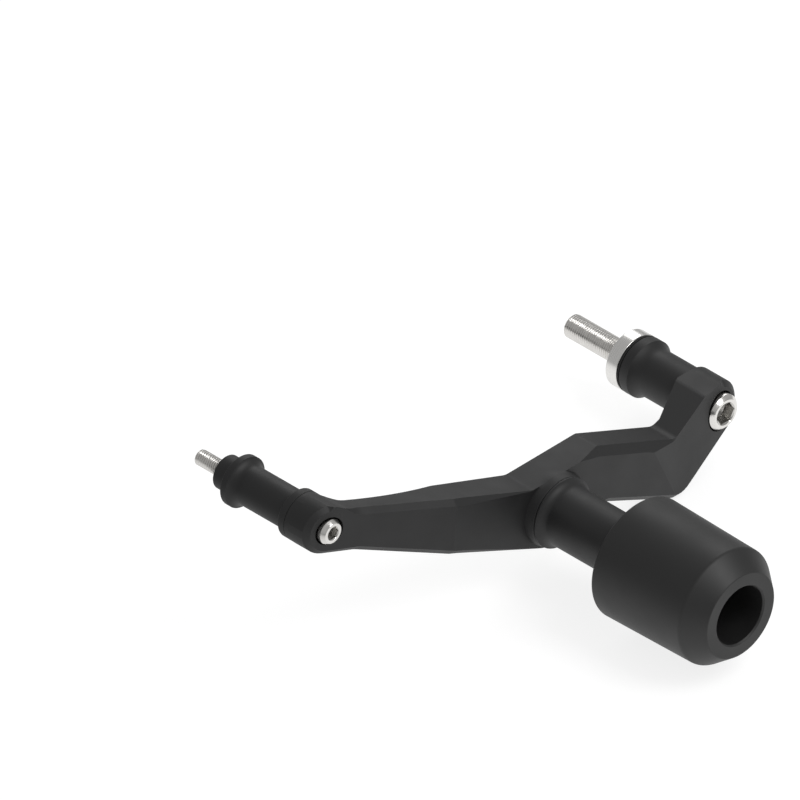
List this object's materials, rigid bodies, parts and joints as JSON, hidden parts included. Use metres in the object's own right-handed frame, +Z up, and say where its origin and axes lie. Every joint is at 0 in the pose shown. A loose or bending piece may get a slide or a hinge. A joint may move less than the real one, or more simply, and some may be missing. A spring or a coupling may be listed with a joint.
{
  "type": "frame slider",
  "caption": "Bowed machined arm bolted to a motorcycle's frame over spacers, with a flared post that carries a chamfered plastic bobbin to take the ground in a fall.",
  "frame": {"origin": "on the main bolt's axis, at the collar's face that seats on the motorcycle's frame", "axes": "+X outward from the motorcycle along the bolts, towards the bobbin; +Y along the motorcycle, from the rear bolt to the main bolt; +Z up"},
  "size_m": [0.2273, 0.2744, 0.0926],
  "materials": {
    "black_anodised": "satin black anodised",
    "black_plastic": "turned, satin black",
    "stainless": "bright stainless",
    "zinc_steel": "zinc plated",
    "black_rubber": "matt black"
  },
  "bodies": {
    "root": {"mounting_arm": "black_anodised", "slider_post": "black_anodised", "slider_bobbin": "black_plastic", "main_bolt": "stainless", "main_collar": "stainless", "seal_ring": "black_rubber", "main_spacer": "black_anodised", "rear_bolt": "stainless", "rear_spacer": "black_anodised", "bobbin_bolt": "stainless", "bobbin_washer": "zinc_steel"}
  },
  "joints": []
}
